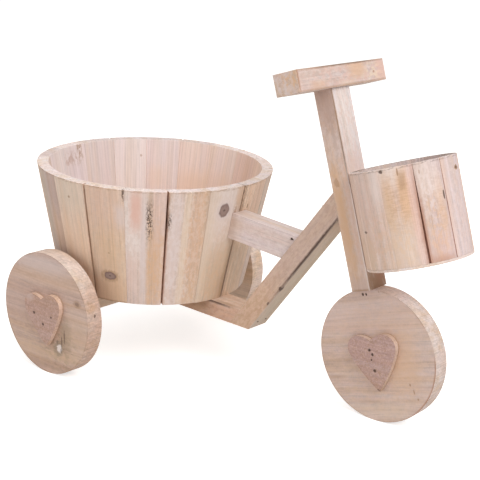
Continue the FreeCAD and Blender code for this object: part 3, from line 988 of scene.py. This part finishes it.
# %% Basket staves
basket_seed = 200
basket_seed_step = 13
joint = basket_first
for number in range(1, basket_count + 1):
    name = f"basket_stave_{number:02d}"
    material = new_material(name)
    width = basket_narrow if number == basket_count else basket_wide
    turn = joint + width / 2
    joint = joint + width
    sideways = left * math.cos(turn) - post_ahead * math.sin(turn)
    place, facing = board_axes(material, basket_foot, post_up, sideways)
    edge = rough_edge(place)
    inner = facing_share(facing, axis_through)
    outer = 1.0 - inner
    # Near the top the open joints fade to the pale joint tone, painted light in the groove; closed joints are pale
    # all along.
    near_top = between(measured(place, axis_along), joint_fades * mm, joint_ends * mm)
    gap = laid(basket_joint, closed_joint_painted_light, near_top)
    before = gap if (number - 2) % basket_count + 1 in basket_open else closed_joint_painted_light
    after = gap if number in basket_open else closed_joint_painted_light
    tint = laid(basket_tints.get(number, basket_common), basket_inside, inner)
    rim = facing_share(facing, axis_along)
    # The far staves' rims get the dark tone of painted shade.
    tint = laid(tint, basket_far_rim_shade if number in basket_far else basket_rim, rim)
    tint = laid(tint, before, joint_share(facing, -1))
    tint = laid(tint, after, joint_share(facing, 1))
    finish = fir(place, basket_seed + basket_seed_step * number, tint)
    add_blotches(finish, place, edge, basket_blotches.get(number, []), outer)
    add_bands(finish, place, edge, basket_bands.get(number, []), outer)
    add_strokes(finish, place, edge, basket_strokes.get(number, []), outer)
    add_spots(finish, place, edge, basket_spots.get(number, []), outer)
    # A dark line along the top of the basket's outside.
    add_strokes(finish, place, edge, [rim_dark_line], outer)
    close_material(name, material, finish)
print("basket dressed")

# %% [markdown]
# Two round boards close the tub and the basket from below. They are plain fir, cut with the grain
# across the planter. One finish would do for both, but the plate under the basket is paler.

# %% Floors
floors = {
    "basket_floor": (basket_foot, post_ahead, (0.71, 0.59, 0.53)),
    "tub_floor": (tub_foot, tub_ahead, (0.68, 0.52, 0.42)),
}
floor_seed = 340

for name, (origin, across, tint) in floors.items():
    material = new_material(name)
    place, _ = board_axes(material, origin, left, across)
    close_material(name, material, fir(place, floor_seed, tint))
print("floors dressed")

# %% [markdown]
# The wheels are discs sawn from boards, so their faces show a board's grain, soft and wavy. One
# wood could serve all three, but they came from three boards. Each disc has a centre, a direction
# of grain, tints for its face, its tread and the top of its tread, and a seed. The paler top tint
# is painted light.

# %% Wheel discs
discs = {
    "right_rear_wheel": (
        axle, climbing(0.0), (0.56, 0.41, 0.34), (0.55, 0.4, 0.32), (0.67, 0.555, 0.475), 401,
    ),
    "left_rear_wheel": (
        axle, climbing(0.0), (0.74, 0.56, 0.43), (0.72, 0.58, 0.49), (0.72, 0.6, 0.52), 417,
    ),
    "front_wheel": (hub, post_ahead, (0.595, 0.47, 0.42), (0.61, 0.5, 0.445), (0.86, 0.74, 0.68), 433),
}
print("discs", list(discs))

# %% [markdown]
# Marks on a disc are counted from its hub, along and across the grain. One rear wheel has a dark
# bruise with a pale chip below its heart. It could be cut into the disc, but it is too shallow to
# show in outline, so it is painted. A dark rim arc is two angles in radians, a tone and a share; on
# the front wheel it is painted shade on the lower front rim, which turns away from the light.

# %% Wheel marks
disc_bands = {
    # Left rear wheel: the brown upper band is painted shadow of the tub, the putty band below is painted light.
    "left_rear_wheel": [(-80, 80, -13, 80, brown, 0.45), (-80, 80, -80, -8, putty, 0.3)],
    "right_rear_wheel": [
        # The lilac band near the top of this wheel's face is a painted sheen.
        (-80, 80, 36, 52, orange, 0.3), (-62, 42, 50, 70, lilac, 0.5),
        (25, 43, -40, 0, deep_olive, 0.55), (4, 40, -52, -14, brown, 0.35),
        (-76, 62, -56, -44, tan, 0.4), (-70, 0, -20, 20, mauve, 0.3), (-64, 70, -70, -58, brown, 0.35),
        (34, 76, -44, 10, tan, 0.3),
    ],
    "front_wheel": [
        (12, 52, -38, 26, orange, 0.5), (-80, 80, 25, 66, pink, 0.35),
        (-72, -48, -24, -20, brown, 0.35), (-66, -20, -7, -2, brown, 0.25),
        (-36, -2, -53, -49.6, brown, 0.35), (-60, 40, -72, -52, cream, 0.3),
    ],
}
disc_spots = {
    "right_rear_wheel": [
        (57, 24, 7, 4.5, brown, 0.45), (57, 24, 3.5, 2.4, dark, 0.4), (33, -22, 1.2, 9, dark, 0.6),
        (28, -30, 1.1, 8, dark, 0.6), (20, -33, 1.3, 5, dark, 0.5), (22, -40, 8, 9, deep_olive, 0.6),
        (23.5, -39, 4.2, 5.4, white_wash, 0.95), (26.5, -41, 1.2, 3.0, dark, 0.5),
    ],
    "front_wheel": [
        (37, -33, 0.9, 1.6, brown, 0.8), (40.5, -41, 0.8, 2.4, brown, 0.7),
        (44, -49, 1.0, 1.4, brown, 0.7), (19.3, 72.6, 0.8, 2.6, brown, 0.5),
        (-2.2, 69.7, 1.5, 1.5, dark, 0.9), (2.2, 69.7, 1.2, 1.2, dark, 0.7),
    ],
}
disc_blotches = {
    "right_rear_wheel": [
        (0, 48, -60, -16, deep_olive, 0.8), (-70, 70, -30, 60, mauve, 0.3), (-80, 80, -80, 0, tan, 0.3),
    ],
    "front_wheel": [(-76, 76, -76, 76, pink, 0.3), (-76, 76, -76, 76, tan, 0.3)],
}
tread_spots = {
    "right_rear_wheel": [(10.7, 148.1, 2.0, 1.6, dark, 0.8)],
}
dark_rim_arcs = {
    "front_wheel": [(-1.1, -0.1, russet, 0.8)],
    "right_rear_wheel": [(-2.9, -1.5, brown, 0.7)],
}
print(sum(len(spots) for spots in disc_spots.values()), "spots on discs")

# %% [markdown]
# The tread shows the saw: short marks across it, paler where the end grain took the wash. Its top
# is paler still, and that is painted light. A noise in straight axes would smear over the top of
# the disc, so the marks follow the angle round the hub.

# %% Wheels
arc_soft = 0.15
flat_limits = (0.4, 0.7)
painted_light_top_limits = (0.35, 0.85)
lower_limits = (0.0, 0.5)
kerf_scale = (60, 30, 1)
kerf_share = 0.75
kerf_share_lower = 0.7
kerf_height = 0.3
worn_scale = (3, 1, 1)
worn_limits = (0.42, 0.6)
worn_share = 0.5
ring_width = 2.4
wheel_half = 75.0

for name, (origin, way, face_tint, tread_tint, painted_light_top_tint, seed) in discs.items():
    material = new_material(name)
    place, facing = board_axes(material, origin, way, way.cross(left))
    edge = rough_edge(place)
    tread = 1.0 - between(abs(measured(facing, axis_through)), *flat_limits)
    flat = 1.0 - tread
    # Painted light: the top of the tread gets a paler tint.
    painted_light_top_share = between(measured(facing, axis_across), *painted_light_top_limits)
    lower = between(measured(facing, (0, -1, 0)), *lower_limits)
    rim_tint = laid(tread_tint, painted_light_top_tint, painted_light_top_share)
    tint = laid(face_tint, rim_tint, tread)
    finish = fir(place, seed, tint, strength=1.1, wave=3.0, summer=0.10, lines=130)
    angle = place.maths("ARCTAN2", measured(place, axis_across), measured(place, axis_along))
    around = joined(angle, measured(place, axis_through), 0.0)
    kerf = cloudy(around, kerf_scale, detail=3, roughness=0.65)
    sawn = tread * (kerf - 0.5) * (lower * kerf_share_lower + kerf_share)
    finish.colour = scaled(finish.colour, 1.0 + sawn)
    finish.height = finish.height + tread * kerf * kerf_height
    add_blotches(finish, place, edge, disc_blotches.get(name, []), flat)
    add_bands(finish, place, edge, disc_bands.get(name, []), flat)
    add_spots(finish, place, edge, disc_spots.get(name, []), flat)
    add_spots(finish, in_axes(place, end_order), edge, tread_spots.get(name, []), tread)
    radius = length(measured(place, axis_along), measured(place, axis_across))
    worn = between(cloudy(joined(angle, radius, 0.0), worn_scale), *worn_limits)
    ring = between(radius, (wheel_half - ring_width) * mm, wheel_half * mm)
    finish.stain(brown, ring * worn * flat * worn_share)
    # Dark arcs along the rim; on the front wheel they are painted shade.
    for start, stop, tone, share in dark_rim_arcs.get(name, []):
        begun = between(angle, start - arc_soft, start + arc_soft)
        ended = between(angle, stop - arc_soft, stop + arc_soft)
        finish.stain(tone, ring * (begun - ended) * flat * share)
    close_material(name, material, finish)
print("wheels dressed")

# %% [markdown]
# The hearts are cut from thin darker board: a mauve brown face with a fine speckle, pale sawn
# sides, and a brown line of painted shade where they meet the wheel, for the shadow in the gap
# behind the heart. That line could be left to the light, but it is painted. Dark dots mark the
# holes round the brads.

# %% Hearts
rear_face = (0.485, 0.325, 0.27)
front_face = (0.465, 0.315, 0.28)
rear_side = (0.66, 0.48, 0.38)
front_side = (0.585, 0.445, 0.36)
rear_foot = 159.9
front_foot = 11.0
# Painted contact shadow at the foot of each heart's sides.
contact_shade_limits = (0.6, 2.2)
contact_shade_share = 0.8
speckle_scale = (420, 420, 420)
speckle_limits = (0.50, 0.62)
speckle_share = 0.5
pale_scale = (380, 380, 380)
pale_limits = (0.52, 0.64)
pale_share = 0.4
rear_dots = [(-12.8, 0.0, 1.7, 1.7, dark, 0.8), (2.9, -11.2, 1.8, 1.8, dark, 0.8),
             (18.1, 0.6, 1.7, 1.7, dark, 0.5)]
front_dots = [(-4.8, 7.8, 1.8, 1.8, dark, 0.9), (-0.7, 3.7, 1.8, 1.8, dark, 0.9),
              (-1.3, -2.8, 1.1, 1.1, dark, 0.7), (3.5, -14.2, 1.8, 1.8, dark, 0.9),
              (8.8, -35.4, 1.4, 1.4, dark, 0.8), (12.0, -35.0, 1.3, 1.3, dark, 0.8)]
heart_pale = {
    "right_rear_heart": [(-27, -14, 14, 26, lilac, 0.35)],
}

for name, origin, seed, face, sawn, dots, foot in (
        ("right_rear_heart", axle, 501, rear_face, rear_side, rear_dots, rear_foot),
        ("left_rear_heart", axle, 517, rear_face, rear_side, rear_dots, rear_foot),
        ("right_front_heart", hub, 533, front_face, front_side, front_dots, front_foot),
        ("left_front_heart", hub, 549, front_face, front_side, front_dots, front_foot)):
    material = new_material(name)
    way = climbing(0.0)
    place, facing = board_axes(material, origin, way, way.cross(left))
    edge = rough_edge(place)
    flat = between(abs(measured(facing, axis_through)), *flat_limits)
    finish = fir(place, seed, laid(sawn, face, flat), strength=1.1, summer=0.06)
    side_height = (abs(measured(place, axis_through)) - foot * mm) / mm
    # Painted shade: a brown line at the foot of the heart's sides, against the wheel.
    finish.stain(brown, (1.0 - between(side_height, *contact_shade_limits)) * contact_shade_share)
    speckle = between(cloudy(place, speckle_scale, detail=3, roughness=0.7), *speckle_limits)
    finish.stain(brown, speckle * flat * speckle_share)
    pale = cloudy(place, pale_scale, detail=3, roughness=0.7, away=(4, 1, 2))
    finish.stain(pink, between(pale, *pale_limits) * flat * pale_share)
    add_bands(finish, place, edge, heart_pale.get(name, []), flat)
    add_spots(finish, place, edge, dots, flat)
    close_material(name, material, finish)
print("hearts dressed")

# %% [markdown]
# Brads, nails and screws are plain steel gone dull: nearly black, with a little rust in spots.
# They are too small for grain of their own, so one material serves them all.

# %% Steel
steel_dark = (0.035, 0.026, 0.022)
steel_rust = (0.12, 0.06, 0.035)
rust_scale = (900, 900, 900)
rust_limits = (0.45, 0.65)
small_metal = ("brads", "nails", "screws")
steel = new_material("dull_steel")
point = Wire(steel.node_tree).node("ShaderNodeTexCoord", {}, {}, "Object")
rust = between(cloudy(point, rust_scale, detail=3, roughness=0.6), *rust_limits)
shader = rust.node("ShaderNodeBsdfPrincipled", {}, {
    "Base Color": laid(steel_dark, steel_rust, rust), "Metallic": 0.3 - rust * 0.3,
    "Roughness": 0.6 + rust * 0.3, "Specular IOR Level": 0.2})
rust.node("ShaderNodeOutputMaterial", {}, {"Surface": shader})
for name in nodes:
    if any(word in name for word in (*small_metal, "washers")):
        nodes[name].data.materials.clear()
        nodes[name].data.materials.append(steel)
print("steel dressed")

# %% [markdown]
# Sawn timber never has a knife-sharp corner. A shader can fake a soft edge, but a real one also
# shows in outline. A weld joins the imported faces, the wheels' flat faces are made whole, a narrow
# bevel breaks every edge and catches the light, and weighted normals keep the flats flat.

# %% Broken edges
edge_width = 0.6 * mm
metal_edge_width = 0.15 * mm
edge_angle = math.radians(35)
flat_angle = math.radians(0.5)
weld_reach = 0.01 * mm
flat_weight = 80
for name, piece in nodes.items():
    piece.data.polygons.foreach_set("use_smooth", [True] * len(piece.data.polygons))
    weld = piece.modifiers.new("weld", "WELD")
    weld.merge_threshold = weld_reach
    if name.endswith("wheel"):
        plane = piece.modifiers.new("plane", "DECIMATE")
        plane.decimate_type = "DISSOLVE"
        plane.angle_limit = flat_angle
    bevel = piece.modifiers.new("broken_edge", "BEVEL")
    bevel.width = metal_edge_width if any(word in name for word in small_metal) else edge_width
    bevel.segments = 2
    bevel.limit_method = "ANGLE"
    bevel.angle_limit = edge_angle
    flats = piece.modifiers.new("flats", "WEIGHTED_NORMAL")
    flats.weight = flat_weight
print("edges broken on", len(nodes), "pieces")
